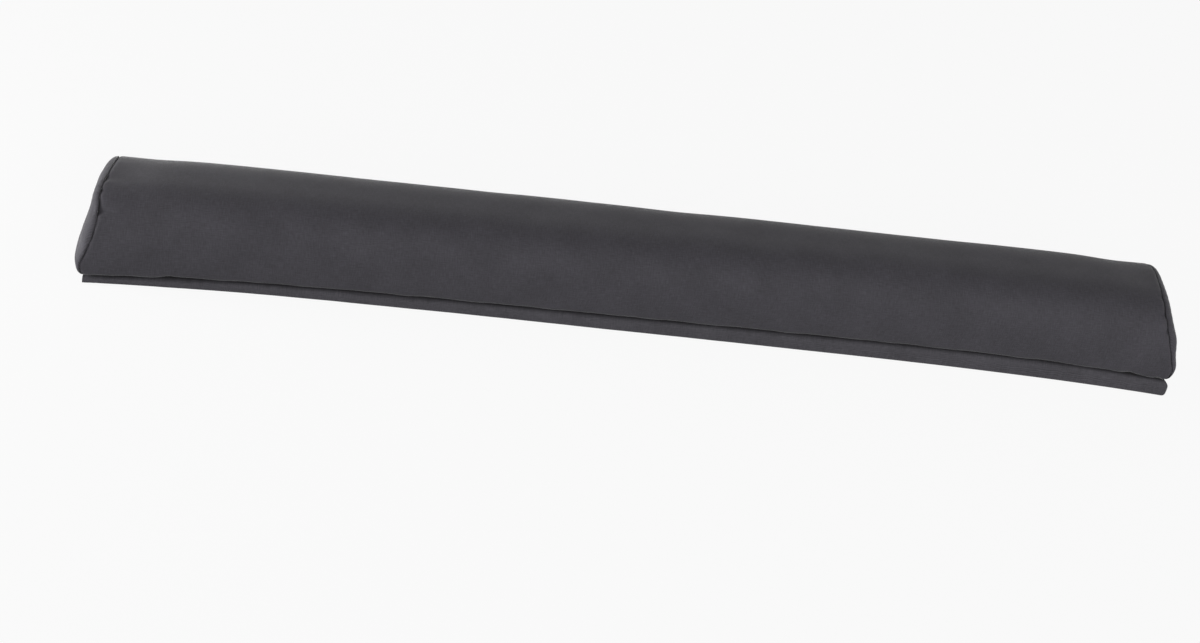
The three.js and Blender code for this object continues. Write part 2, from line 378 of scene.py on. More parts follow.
def fuzz_group() -> bpy.types.NodeTree:
    """Builds a fine pile or grain: cells for loops, hooks or foam pores, broken up by noise.

    Returns:
        The node group, which gives a colour and a height.
    """
    inputs = {"Place": VECTOR, "Cells": FLOAT, "Dark": COLOUR, "Light": COLOUR}
    group, bench = node_group("fine_pile", inputs, {"Colour": COLOUR, "Height": FLOAT})
    given = bench.add("NodeGroupInput").outputs
    place = {"Vector": given["Place"], "Scale": given["Cells"]}
    cells = bench.add("ShaderNodeTexVoronoi", place, feature="F1").outputs["Distance"]
    grain = bench.noise(given["Place"], bench.math("MULTIPLY", given["Cells"], 2.3), 3.0)
    height = bench.math("SUBTRACT", grain, bench.math("MULTIPLY", cells, 0.8))
    clamp = bench.add("ShaderNodeClamp", {0: bench.math("ADD", height, 0.35)})
    colour = bench.mix(clamp.outputs[0], given["Dark"], given["Light"])
    bench.add("NodeGroupOutput", {"Colour": colour, "Height": height})
    return group


Rgba = tuple[float, float, float, float]


def grey(level: float, tint: float = 0.0) -> Rgba:
    """Gives a linear colour from an 8-bit screen grey; tint moves it towards blue and violet."""
    linear = ((level / 255 + 0.055) / 1.055) ** 2.4
    return (linear * (1 + 0.1 * tint), linear * (1 - 0.3 * tint), linear * (1 + tint), 1.0)


@dataclass(frozen=True)
class ClothFinish:
    """Woven polyester, whose colour is darkened by painted shade near its seams and creases."""

    name: str
    dark: Rgba
    light: Rgba
    pitch: float = 0.62 * MM
    slub: float = 0.9
    depth: float = 0.11 * MM
    strength: float = 0.7
    sheen: float = 0.16
    sheen_roughness: float = 0.35
    specular: float = 0.25
    # Painted shade in seams and creases: how far it darkens the colour, and towards what tone.
    seam_shade: float = 0.85
    seam_shade_tone: float = 0.25  # painted shade deep in a seam, as a share of the dark colour

    def material(self, weave: bpy.types.NodeTree) -> bpy.types.Material:
        """Makes the material; the weave follows the piece's own cloth coordinates.

        Args:
            weave: the shared weave.

        Returns:
            The material.
        """
        bench = MaterialBench(self.name)
        cloth = bench.add("ShaderNodeUVMap", uv_map="Cloth").outputs[0]
        look = {"Cloth": cloth, "Dark": self.dark, "Light": self.light}
        look |= {"Pitch": self.pitch, "Slub": self.slub}
        woven = bench.add("ShaderNodeGroup", look, node_tree=weave).outputs
        # Painted shade: the mask darks the woven colour towards a deep tone near seams and creases,
        # standing in for their shade.
        painted_shade = bench.add("ShaderNodeAttribute", attribute_name="PaintedShade").outputs["Fac"]
        deep = tuple(self.seam_shade_tone * value for value in self.dark[:3]) + (1.0,)
        shade_share = bench.math("MULTIPLY", painted_shade, self.seam_shade)
        inputs = {
            "Base Color": bench.mix(shade_share, woven["Colour"], deep),
            "Roughness": woven["Roughness"],
            "Specular IOR Level": self.specular,
            "Sheen Weight": self.sheen,
            "Sheen Roughness": self.sheen_roughness,
        }
        return bench.finish(inputs, woven["Height"], self.depth, self.strength)


@dataclass(frozen=True)
class PileFinish:
    """A fine pile, hooks or foam pores, on Object coordinates."""

    name: str
    dark: Rgba
    light: Rgba
    cells: float
    depth: float
    roughness: float
    sheen: float = 0.0

    def material(self, fuzz: bpy.types.NodeTree) -> bpy.types.Material:
        """Makes the material.

        Args:
            fuzz: the shared pile.

        Returns:
            The material.
        """
        bench = MaterialBench(self.name)
        place = bench.add("ShaderNodeTexCoord").outputs["Object"]
        look = {"Place": place, "Cells": self.cells, "Dark": self.dark, "Light": self.light}
        pile = bench.add("ShaderNodeGroup", look, node_tree=fuzz).outputs
        inputs = {"Base Color": pile["Colour"], "Roughness": self.roughness, "Sheen Weight": self.sheen}
        return bench.finish(inputs, pile["Height"], self.depth, 1.0)


@dataclass(frozen=True)
class Finishes:
    """The materials of the pad, by use."""

    cover: bpy.types.Material
    wrap: bpy.types.Material
    thread: bpy.types.Material
    foam: bpy.types.Material
    hook: bpy.types.Material
    loop: bpy.types.Material

    @classmethod
    def make(cls) -> "Finishes":
        """Builds every material from the two shared node groups.

        Returns:
            The finishes.
        """
        weave, fuzz = weave_group(), fuzz_group()
        cloths = (
            ClothFinish("cover_polyester", grey(33, 0.14), grey(66, 0.14)),
            ClothFinish("wrap_polyester", grey(35, 0.12), grey(74, 0.12), pitch=0.7 * MM, sheen=0.15),
        )
        piles = (
            PileFinish("sewing_thread", grey(22), grey(48), 2600, 0.05 * MM, 0.6),
            PileFinish("closed_cell_foam", grey(48), grey(82), 1400, 0.2 * MM, 0.9),
            PileFinish("hook_nylon", grey(14), grey(46), 900, 0.5 * MM, 0.45),
            PileFinish("loop_nylon", grey(20), grey(52), 1300, 0.4 * MM, 0.9, sheen=0.3),
        )
        return cls(*(cloth.material(weave) for cloth in cloths), *(pile.material(fuzz) for pile in piles))


def dress(piece: bpy.types.Object, material: bpy.types.Material, slot: str, *nodes: str) -> None:
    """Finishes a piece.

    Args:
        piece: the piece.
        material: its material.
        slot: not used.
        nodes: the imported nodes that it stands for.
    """
    piece.data.materials.clear()
    piece.data.materials.append(material)
    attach(piece, "root")
    if nodes:
        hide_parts(*nodes)
    LOG.info("%s: %d faces", piece.name, len(piece.data.polygons))


# The cover's form


@dataclass(frozen=True)
class Pucker:
    """One deep fold that a tight stitch pulls into the cloth beside an end seam."""

    side: Side
    share: float  # of the way over the cover, from the front crease seam to the rear one
    depth: float
    width: float
    reach: float  # how far from the seam it runs out

    def depth_at(self, arc: np.ndarray, back: np.ndarray, length: float) -> np.ndarray:
        """Gives its depth: a bell across the fold, dying out from the seam.

        Args:
            arc: distance over the cover from the front crease seam.
            back: distance from the seam.
            length: the whole distance over the cover.

        Returns:
            Depths shaped like arc.
        """
        across = (arc - self.share * length) / self.width
        return self.depth * np.exp(-(across**2)) * np.exp(-back / self.reach)


@dataclass(frozen=True)
class Dimple:
    """A place where the crease seam pulls the cover in."""

    x: float
    depth: float
    width: float  # along the pad
    height: float  # up the cover

    def depth_at(self, x: np.ndarray, edge: np.ndarray) -> np.ndarray:
        """Gives its depth: a bell along the pad, dying out over the cloth above the crease.

        Args:
            x: place along the pad.
            edge: distance over the cover from the crease.

        Returns:
            Depths shaped like x.
        """
        return self.depth * np.exp(-(((x - self.x) / self.width) ** 2) - (edge / self.height) ** 2)


@dataclass(frozen=True)
class CoverForm:
    """The outer form of the sewn cover: a D section carried along the pad, with sewn-in ends.

    The section runs from the front crease seam out round a tucked corner, up and over the crown,
    and down to the rear crease seam. The corners and the crown are superellipses.
    """

    half_length: float
    half_width: float
    crease_z: float
    crown: float  # from the crease seams up
    tuck: float = 5.0 * MM  # how far the crease seams lie in from the widest line
    tuck_rise: float = 9.0 * MM  # height of the widest line
    tuck_fullness: float = 3.2  # a superellipse's power: 2 is round, more is squarer
    side_fullness: float = 3.2
    crown_fullness: float = 2.1
    ear: float = 10.6 * MM  # how far the lower corners reach past the crown's end
    ear_height: float = 43.7 * MM  # where the slope out to them begins
    ear_curve: float = 1.46
    end_tuck: float = 3.4 * MM  # how far the ends draw in below the lower corners
    waist: float = 9.0 * MM  # how far the crease seams draw in between the ends
    waist_power: float = 1.6
    arch: float = 1.0 * MM  # how much higher the crease seams run in the middle
    lean: float = 3.9 * MM  # how much higher or lower they run at the ends
    skew: float = 0.136  # slide along the pad against the distance from its middle line
    skew_power: float = 5.3
    droop: float = 1.2 * MM  # of the lower corners
    droop_reach: float = 45 * MM
    seam_depth: float = 1.2 * MM  # how far the cover's edge rolls in
    seam_roll: float = 2.8 * MM  # over what length it does
    pillow: float = 8.9 * MM  # how far an end bulges
    pillow_fullness: float = 1.91
    pillow_middle: float = 0.55  # of the crown's height
    belly: float = 1.6 * MM  # a soft bulge on each pillow
    belly_height: float = 26.0 * MM
    belly_width: float = 7.9 * MM
    cone_power: float = 1.4  # of a ring's size, for the slope from the end seam to the middle
    egg_power: int = 3  # the same, for the share of the D in a ring
    level_power: int = 8  # the same, for the tuck at the end seam's foot
    cloth: float = 1.0 * MM

    def section(self, share: np.ndarray) -> tuple[np.ndarray, np.ndarray, np.ndarray, np.ndarray]:
        """Works out the section at even shares of its own length.

        Args:
            share: from 0 at the front crease seam to 1 at the rear one.

        Returns:
            y, height over the crease seams, and the y and z of the outward normal.
        """
        corner = np.linspace(0, np.pi / 2, CORNER_POINTS, endpoint=False)
        corner_y = self.half_width - self.tuck * (1 - np.sin(corner) ** (2 / self.tuck_fullness))
        corner_h = self.tuck_rise * (1 - np.cos(corner) ** (2 / self.tuck_fullness))
        angle = np.linspace(0, np.pi, CROWN_POINTS)
        across, up = np.cos(angle), np.abs(np.sin(angle))
        crown_y = np.sign(across) * np.abs(across) ** (2 / self.side_fullness) * self.half_width
        crown_h = self.tuck_rise + up ** (2 / self.crown_fullness) * (self.crown - self.tuck_rise)
        y = np.concatenate([-corner_y, -crown_y, corner_y[::-1]])
        h = np.concatenate([corner_h, crown_h, corner_h[::-1]])
        length = np.concatenate([[0], np.cumsum(np.hypot(np.diff(y), np.diff(h)))])
        even = np.linspace(0, length[-1], SECTION_POINTS)
        y, h = np.interp(even, length, y), np.interp(even, length, h)
        along_y, along_h = np.gradient(y), np.gradient(h)
        size = np.hypot(along_y, along_h)
        place = np.linspace(0, 1, SECTION_POINTS)
        values = (y, h, -along_h / size, along_y / size)
        return tuple(np.interp(share, place, value) for value in values)

    def section_length(self) -> float:
        """Gives the cloth's length over the pad, from crease seam to crease seam."""
        y, h, _, _ = self.section(np.linspace(0, 1, SECTION_POINTS))
        return float(np.hypot(np.diff(y), np.diff(h)).sum())

    def end_x(self, height: np.ndarray) -> np.ndarray:
        """Gives half the cover's length at a height, which slopes out to the lower corners.

        Args:
            height: over the crease seams.

        Returns:
            Half the length to the end seam: a power curve, less a quarter ellipse at its foot.
        """
        ear = np.clip((self.ear_height - height) / (self.ear_height - self.tuck_rise), 0, 1)
        low = np.clip(1 - height / self.tuck_rise, 0, 1)
        slope = self.ear * (1 - ear**self.ear_curve)
        return self.half_length - slope - self.end_tuck * (1 - np.sqrt(1 - low**2))

    def between_ends(self, x: np.ndarray) -> np.ndarray:
        """Gives 1 along most of the pad, falling to 0 at its ends as a fourth power."""
        return 1 - np.minimum(np.abs(x / self.half_length), 1) ** 4

    def waist_at(self, x: np.ndarray) -> np.ndarray:
        """Gives how far the crease seams draw in at a place along the pad."""
        return self.waist * self.between_ends(x)

    def crease_at(self, x: np.ndarray) -> np.ndarray:
        """Gives the height of the crease seams, which lean and arch as the wrap under them is folded."""
        return self.crease_z + self.lean * x / self.half_length + self.arch * self.between_ends(x)

    def droop_at(self, x: np.ndarray) -> np.ndarray:
        """Gives how far the lower corners hang down near the ends, as a bell from each end."""
        return self.droop * np.exp(-(((self.half_length - np.abs(x)) / self.droop_reach) ** 2))

    def settle(self, points: np.ndarray) -> np.ndarray:
        """Draws the cover in at its waist and leans it as its wrap is folded, deeper at one end.

        The crown's cloth also slides along the pad in proportion to y, because it is sewn askew.

        Args:
            points: places with z as the height over the crease seams.

        Returns:
            Places in the pad's own frame.
        """
        x, y, h = points[..., 0], points[..., 1], points[..., 2]
        up = np.clip(h / self.crown, 0, 1)
        low = (1 - up) ** self.waist_power
        drawn = y * (1 - self.waist_at(x) / (self.half_width - self.tuck) * low)
        corner = (1 - np.clip(h / (3 * self.tuck_rise), 0, 1)) ** 2 * (y / self.half_width) ** 4
        askew = self.skew * y * up**self.skew_power
        return np.stack([x + askew, drawn, self.crease_at(x) + h - self.droop_at(x) * corner], axis=-1)

    def outline(self, inset: float, over: int, under: int) -> tuple[np.ndarray, np.ndarray, np.ndarray]:
        """Works out the closed D outline: the section drawn in, and the straight base.

        Args:
            inset: how far the outline is drawn in.
            over: points over the crown.
            under: points along the base.

        Returns:
            y and height of the outline, and the end seam's x at each point.
        """
        y, h, ny, nh = self.section(np.linspace(0, 1, over))
        edge_x = self.end_x(h)
        y, h = y - ny * inset, h - nh * inset
        share = np.linspace(0, 1, under + 2)[1:-1]
        y = np.concatenate([y, y[-1] + (y[0] - y[-1]) * share])
        h = np.concatenate([h, np.full(under, h[0])])
        return y, h, np.concatenate([edge_x, np.full(under, edge_x[0])])


@dataclass(frozen=True)
class Stations:
    """Places along the pad: each is a share of the half length, less a distance back from its end."""

    share: np.ndarray
    back: np.ndarray

    @classmethod
    def make(cls, depth: float, steps: int, middle: int) -> "Stations":
        """Packs steps closer towards each end, as a quarter cosine, and spreads the rest evenly.

        Args:
            depth: how far from an end its steps reach.
            steps: steps at each end.
            middle: the other places, between them.

        Returns:
            The stations, from the low end to the high one.
        """
        back = depth * (1 - np.cos(np.linspace(0, np.pi / 2, steps, endpoint=False)))
        share = np.linspace(-1, 1, middle)
        return cls(
            np.concatenate([-np.ones(steps), share, np.ones(steps)]),
            np.concatenate([back, np.full(middle, depth), back[::-1]]),
        )

    def x(self, half: np.ndarray) -> np.ndarray:
        """Gives x for each station (rows) and each half length (columns)."""
        return self.share[:, None] * (half[None, :] - self.back[:, None])


# Cloth simulation of the whole cover


@dataclass(frozen=True)
class StuffedCover:
    """Blows the sewn cover up over its foam with a cloth simulation, with the seams held."""

    form: CoverForm
    along: int = 119  # points along the pad
    over: int = 29  # points over the crown
    under: int = 13  # points along the base between the crease seams
    rings: int = 8  # rings of points on each end
    pressure: float = 4.0
    cap: float = 1.6 * MM  # the farthest that a point may move
    weld: float = 0.01 * MM  # points nearer than this are one
    frames: int = 20

    def coarse(self) -> tuple[np.ndarray, np.ndarray, np.ndarray, np.ndarray]:
        """Builds the coarse grids of the body's points.

        Returns:
            The top, the left and right ends as rings, and the base.
        """
        form = self.form
        y, h, _, _ = form.section(np.linspace(0, 1, self.over))
        x = np.linspace(-1, 1, self.along)[:, None] * form.end_x(h)[None, :]
        top = np.stack([x, np.broadcast_to(y, x.shape), np.broadcast_to(h, x.shape)], axis=-1)
        base_y = np.linspace(y[-1], y[0], self.under + 2)
        base_half = np.full((1, self.under + 2), form.end_x(np.zeros(1))[0])
        base_x = np.linspace(-1, 1, self.along)[:, None] * base_half
        base = np.stack([base_x, np.broadcast_to(base_y, base_x.shape), np.zeros_like(base_x)], axis=-1)
        ends = [self.end_rings(side, self.over, self.under, self.rings, 0.0) for side in Side]
        return (top, ends[0], ends[1], base)

    def end_rings(self, side: Side, over: int, under: int, count: int, inset: float) -> np.ndarray:
        """Lays rings of points over one pillowed end, from the seam to the middle.

        The rings shrink as a power curve while the surface rises by a cosine. They turn from the
        cover's D outline at the seam into an egg round the middle: with s a ring's size against the
        seam's, it is s cubed of the D and the rest of the egg. The tuck at the foot of the seam
        levels out within the first rings. A soft belly stands out half-way in, as a bell of the height.

        Args:
            side: which end.
            over: points over the crown.
            under: points along the base.
            count: rings, the last of which is a point.
            inset: how far the outermost ring lies inside the cover's outline.

        Returns:
            A grid of rings by points, with z as the height over the crease seams.
        """
        form = self.form
        y, h, edge_x = form.outline(inset, over, under)
        angle = np.linspace(np.pi / 2, 0, count)[:, None]
        spread = np.sin(angle) ** (2 / form.pillow_fullness)
        middle_x, middle_h = form.end_x(np.array([form.crown]))[0], form.crown * form.pillow_middle
        rise = h - middle_h
        tall = np.where(rise < 0, middle_h, form.crown - middle_h)
        egg = 1 / np.hypot(y / form.half_width, rise / tall)
        scale = spread * (1 + (1 - spread**form.egg_power) * (egg - 1))
        height = middle_h + rise * scale
        bell = np.exp(-(((height - form.belly_height) / form.belly_width) ** 2))
        belly = form.belly * bell * np.sin(2 * angle)
        cone = spread**form.cone_power
        level = (form.end_x(np.maximum(h, form.tuck_rise)) - edge_x) * (cone - spread**form.level_power)
        x = middle_x + (edge_x - middle_x) * cone + form.pillow * np.cos(angle) + belly + level
        return np.stack([side.value * x, y * scale, height], axis=-1)

    def swell(self) -> tuple[np.ndarray, np.ndarray, np.ndarray]:
        """Runs the simulation.

        Returns: How far each point of the coarse top and of the two ends moves,
            capped.
        """
        top, left, right, base = self.coarse()
        parts = (top, left, right, base)
        flat = np.concatenate([part.reshape(-1, 3) for part in parts])
        rounded = np.round(flat / self.weld)
        _, first, welded = np.unique(rounded, axis=0, return_index=True, return_inverse=True)
        welded = welded.ravel()
        faces, start = [], 0
        for part, closed, turned in zip(parts, (False, True, True, False), (False, False, True, False)):
            quads = grid_faces(*part.shape[:2], closed=closed) + start
            faces.append(quads[:, ::-1] if turned else quads)
            start += part.shape[0] * part.shape[1]
        names = welded[np.concatenate(faces)]
        mesh = bpy.data.meshes.new("stuffing")
        mesh.from_pydata(flat[first].tolist(), [], names.tolist())
        mesh.validate()
        body = bpy.data.objects.new("stuffing", mesh)
        bpy.context.scene.collection.objects.link(body)
        held = self.held(top, left, right, base)
        group = body.vertex_groups.new(name="held")
        for number in np.unique(welded[held]):
            group.add([int(number)], 1.0, "REPLACE")
        moved = self.simulate(body)
        start, found = 0, []
        shift = moved[welded] - flat[first][welded]
        size = np.linalg.norm(shift, axis=1, keepdims=True)
        shift *= np.minimum(1, self.cap / np.maximum(size, 1e-9))
        for part in parts[:3]:
            count = part.shape[0] * part.shape[1]
            found.append(self.eased(shift[start : start + count].reshape(part.shape)))
            start += count
        bpy.data.objects.remove(body)
        LOG.info("cover swelled by %.1f mm at most, %.1f on average", size.max() / MM, size.mean() / MM)
        return tuple(found)

    def held(
        self, top: np.ndarray, left: np.ndarray, right: np.ndarray, base: np.ndarray
    ) -> np.ndarray:
        """Marks the points that are held: the seams and the whole base.

        Args:
            top: the top's grid.
            left: the left end's rings.
            right: the right end's rings.
            base: the base's grid.

        Returns:
            One mark for each point, in that order.
        """
        marks = [np.zeros(part.shape[:2], bool) for part in (top, left, right)]
        marks[0][:, [0, -1]] = True
        marks[0][[0, -1], :] = True
        marks[1][0] = True
        marks[2][0] = True
        marks.append(np.ones(base.shape[:2], bool))
        return np.concatenate([mark.ravel() for mark in marks])

    def eased(self, shift: np.ndarray, rounds: int = 10) -> np.ndarray:
        """Evens out the folds that are finer than the real cloth's.

        Args:
            shift: how far each point moves, as a grid of vectors.
            rounds: how often each inner point takes 40% of itself and 15% of each neighbour.

        Returns:
            The evened grid.
        """
        for _ in range(rounds):
            inner = shift[1:-1, 1:-1]
            beside = shift[2:, 1:-1] + shift[:-2, 1:-1] + shift[1:-1, 2:] + shift[1:-1, :-2]
            shift = shift.copy()
            shift[1:-1, 1:-1] = 0.4 * inner + 0.15 * beside
        return shift

    def simulate(self, body: bpy.types.Object) -> np.ndarray:
        """Steps the cloth.

        Args:
            body: the body with its pins.

        Returns:
            Where its points end.
        """
        cloth = body.modifiers.new("stuffed", "CLOTH")
        settings = cloth.settings
        settings.quality = 6
        settings.mass = 0.25
        settings.tension_stiffness = 25
        settings.compression_stiffness = 8
        settings.shear_stiffness = 6
        settings.bending_stiffness = 1.5
        settings.use_pressure = True
        settings.uniform_pressure_force = self.pressure
        settings.shrink_min = -0.012
        settings.vertex_group_mass = "held"
        settings.pin_stiffness = 1.0
        settings.effector_weights.gravity = 0
        cloth.point_cache.frame_start, cloth.point_cache.frame_end = 1, self.frames
        for step in range(1, self.frames + 1):
            bpy.context.scene.frame_set(step)
        graph = bpy.context.evaluated_depsgraph_get()
        solved = body.evaluated_get(graph).data
        places = np.zeros(len(solved.vertices) * 3, np.float32)
        solved.vertices.foreach_get("co", places)
        bpy.context.scene.frame_set(1)
        return places.reshape(-1, 3).astype(float)


# The cushion's pieces


@dataclass
class Cushion:
    """The foam block and the four panels of its cover."""

    form: CoverForm
    puckers: tuple[Pucker, ...] = (
        Pucker(Side.LOW, 0.285, 1.9 * MM, 2.0 * MM, 5 * MM),
        Pucker(Side.LOW, 0.31, 1.2 * MM, 4.0 * MM, 2.0 * MM),
        Pucker(Side.LOW, 0.375, 1.3 * MM, 1.4 * MM, 2.5 * MM),
        Pucker(Side.LOW, 0.455, 1.0 * MM, 4.0 * MM, 5 * MM),
        Pucker(Side.LOW, 0.66, 1.4 * MM, 1.8 * MM, 5 * MM),
        Pucker(Side.HIGH, 0.385, 1.4 * MM, 1.6 * MM, 2.5 * MM),
        Pucker(Side.HIGH, 0.30, 1.4 * MM, 1.4 * MM, 3 * MM),
        Pucker(Side.HIGH, 0.235, 1.0 * MM, 2.2 * MM, 7 * MM),
        Pucker(Side.HIGH, 0.72, 1.5 * MM, 2.0 * MM, 5 * MM),
    )
    dimples: tuple[Dimple, ...] = (
        Dimple(-0.297, 0.9 * MM, 4 * MM, 7 * MM),
        Dimple(0.324, 1.3 * MM, 5 * MM, 9 * MM),
        Dimple(0.343, 1.3 * MM, 3 * MM, 6 * MM),
    )
    broad_wave: float = 0.28 * MM  # height of the waves over the foam
    crease_ripple: float = 0.34 * MM  # height of the ripples along the creases
    top_gather: float = 0.42 * MM  # depth of the gathers on the top's side of an end seam
    end_gather: float = 0.5 * MM  # the same on the end panel's side
    end_slack: float = 0.3 * MM
    base_slack: float = 0.35 * MM
    end_fade: float = 2.5  # how much faster the puckers die out on the end panels
    crease_shade: float = 2.6 * MM  # how far the painted shade reaches from a crease seam
    end_shade: float = 0.7 * MM  # the same from an end seam
    sewn_gap: float = 0.15 * MM  # between the top's rolled edge and the end panel's
    d_share: float = 0.9  # of its rectangle that an end panel fills

    def __post_init__(self) -> None:
        """Blows the cover up once for all its panels."""
        self.stuffed = StuffedCover(self.form)
        self.swollen_top, self.swollen_left, self.swollen_right = self.stuffed.swell()

    def build(self, finishes: Finishes) -> None:
        """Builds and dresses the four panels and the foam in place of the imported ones.

        Args:
            finishes: the materials.
        """
        form = self.form
        base_low, base_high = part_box("base_panel")
        top = self.top_panel()
        dress(top, finishes.cover, "cover_cloth", "top_panel")
        flat = (2 * form.half_length, form.section_length())
        for side, end in ((Side.LOW, "left_end_panel"), (Side.HIGH, "right_end_panel")):
            panel = self.end_panel(side, f"{end}_cloth")
            dress(panel, finishes.cover, "cover_cloth", end)
            flat = (2 * form.half_width, form.crown)
        base = self.base_panel(base_high[2] - base_low[2])
        dress(base, finishes.cover, "cover_cloth", "base_panel")
        flat = (2 * base_high[0], 2 * (form.half_width - form.tuck))
        foam = self.foam()
        dress(foam, finishes.foam, "foam", "foam_core")

    def seam_unevenness(self, arc: np.ndarray, seed: int) -> np.ndarray:
        """Gives how strongly the painted shade shows along an end seam, from 0 to 1."""
        return np.clip(0.4 + 0.9 * ripple(arc, 11 * MM, seed), 0, 1)

    def top_panel(self) -> bpy.types.Object:
        """Builds the top panel: the section carried along the pad, rolled in at its end seams.

        Returns:
            The cloth.
        """
        form = self.form
        stations = Stations.make(depth=14 * MM, steps=18, middle=300)
        share = np.linspace(0, 1, 97)
        y, h, ny, nh = form.section(share)
        length = form.section_length()
        x = stations.x(form.end_x(h))
        from_end = stations.back + (1 - np.abs(stations.share)) * form.half_length
        back = np.broadcast_to(from_end[:, None], x.shape)
        arc = np.broadcast_to(share * length, x.shape)
        off = -self.seam_drop(back) + self.unevenness(x, arc, back, length)
        points = np.stack([x, y + ny * off, h + nh * off], axis=-1)
        even_x = (stations.share * (1 - stations.back / form.half_length) + 1) / 2
        points += resampled(resampled(self.swollen_top, even_x, 0), share, 1)
        uv = np.stack([x, arc], axis=-1)
        # Painted shade: darkens the cloth's colour near the crease seams and, unevenly, near the end
        # seams.
        creases = near_seam(np.minimum(arc, length - arc), self.crease_shade)
        painted_shade = np.maximum(creases, near_seam(back, self.end_shade) * self.seam_unevenness(arc, 8))
        piece = sheet_piece("top_panel_cloth", form.settle(points), uv, painted_shade)
        thicken(piece, form.cloth, -1)
        return piece

    def seam_drop(self, back: np.ndarray) -> np.ndarray:
        """Gives how deep the cloth rolls in at a distance from the end seam: a quarter ellipse."""
        rolled = np.clip(1 - back / self.form.seam_roll, 0, 1)
        return self.form.seam_depth * (1 - np.sqrt(1 - rolled**2))

    def unevenness(
        self, x: np.ndarray, arc: np.ndarray, back: np.ndarray, length: float
    ) -> np.ndarray:
        """Works out the top's small departures from its form.

        They are broad waves over the foam, ripples that die out from the crease seams, gathers that
        die out from the end seams, the deep puckers, and the dimples along the front crease.

        Args:
            x: place along the pad.
            arc: distance over the cover from the front crease seam.
            back: distance from the end seam.
            length: the whole distance over the cover.

        Returns:
            How far the cloth stands out, shaped like x.
        """
        broad = self.broad_wave * ripple(x, 150 * MM, 3) * ripple(arc, 60 * MM, 4)
        edge = np.minimum(arc, length - arc)
        front = self.crease_ripple * ripple(x, 34 * MM, 5) * np.exp(-((edge - 5 * MM) / (5 * MM)) ** 2)
        near_end = np.exp(-back / (6 * MM)) * np.clip(back / (1.5 * MM), 0, 1)
        end = -self.top_gather * gathers(arc, 7.5 * MM, 7) * near_end
        deep = sum(
            fold.depth_at(arc, back, length) * (np.sign(x) == fold.side.value) for fold in self.puckers
        )
        dimpled = sum(dimple.depth_at(x, arc) for dimple in self.dimples)
        return broad + front + end - deep - dimpled

    def end_panel(self, side: Side, name: str) -> bpy.types.Object:
        """Builds an end panel: rings over the pillowed end, gathered where it meets its seam.

        Args:
            side: which end.
            name: the piece's name.

        Returns:
            The piece.
        """
        form = self.form
        over, under, count = 161, 64, 44
        rings = self.stuffed.end_rings(side, over, under, count, form.seam_depth + self.sewn_gap)
        swollen = self.swollen_left if side is Side.LOW else self.swollen_right
        coarse_over = self.stuffed.over
        ring_share = np.linspace(0, 1, count)
        above = resampled(resampled(swollen[:, :coarse_over], ring_share, 0), np.linspace(0, 1, over), 1)
        base_loop = np.concatenate([swollen[:, coarse_over - 1 :], swollen[:, :1]], axis=1)
        below = resampled(resampled(base_loop, ring_share, 0), np.linspace(0, 1, under + 2)[1:-1], 1)
        rings = rings + np.concatenate([above, below], axis=1)
        edge = np.linalg.norm(np.diff(rings[0], axis=0, append=rings[0][:1]), axis=1)
        arc = np.concatenate([[0], np.cumsum(edge)[:-1]])
        inward = np.linalg.norm(rings[:, :, 1:] - rings[0][None, :, 1:], axis=2)
        folds = gathers(arc, 6.5 * MM, 17 + side.value)[None, :]
        fold = self.end_gather * folds * np.exp(-inward / (5 * MM))
        length = form.section_length()
        for pucker in self.puckers:
            if pucker.side is side:
                along = arc[None, :] * length / arc[over - 1]
                fold = fold + pucker.depth_at(along, self.end_fade * inward, length)
        waves = ripple(rings[..., 1], 34 * MM, 21) * ripple(rings[..., 2], 30 * MM, 22)
        slack = self.end_slack * waves
        middle = np.clip(inward / (8 * MM), 0, 1)
        rings[..., 0] += side.value * (slack * middle - fold * np.clip(inward / (1.2 * MM), 0, 1))
        uv = rings[..., 1:].copy()
        points = form.settle(rings)
        quads = grid_faces(count - 1, over + under, closed=True)
        pole = points[-1].mean(axis=0)
        flat = np.concatenate([points[:-1].reshape(-1, 3), pole[None]])
        flat_uv = np.concatenate([uv[:-1].reshape(-1, 2), uv[-1].mean(axis=0)[None]])
        # Painted shade: darkens the end panel's colour near its seam, unevenly along it.
        from_seam = np.linalg.norm(rings[:-1] - rings[:1], axis=2)
        shade = near_seam(from_seam, self.end_shade) * self.seam_unevenness(arc, 9)
        painted_shade = np.append(shade.ravel(), 0.0)
        ring = np.arange(over + under) + (count - 2) * (over + under)
        fan = np.stack([ring, np.full_like(ring, len(flat) - 1), np.roll(ring, -1)], axis=-1)
        if side is Side.LOW:
            quads, fan = quads[:, ::-1], fan[:, ::-1]
        piece = mesh_piece(name, flat, quads[:, ::-1], fan[:, ::-1], flat_uv, painted_shade)
        thicken(piece, form.cloth, -1)
        return piece

    def base_panel(self, thickness: float) -> bpy.types.Object:
        """Builds the base panel: a flat cloth between the crease seams, a little slack across.

        Args:
            thickness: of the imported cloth.

        Returns:
            The cloth.
        """
        form = self.form
        half_x = form.end_x(np.zeros(1))[0]
        y, _, _, _ = form.section(np.zeros(1))
        x = np.linspace(-half_x, half_x, 180)[:, None] * np.ones((1, 28))
        across = np.linspace(1, -1, 28)[None, :] * np.ones_like(x)
        slack = self.base_slack * ripple(x, 90 * MM, 31) * (1 - across**2)
        half_y = abs(y[0]) - SEAM_ALLOWANCE
        points = np.stack([x, across * half_y, np.zeros_like(x)], axis=-1)
        placed = form.settle(points)
        placed[..., 2] += slack
        piece = sheet_piece("base_panel_cloth", placed, points[..., :2])
        thicken(piece, thickness, -1)
        return piece

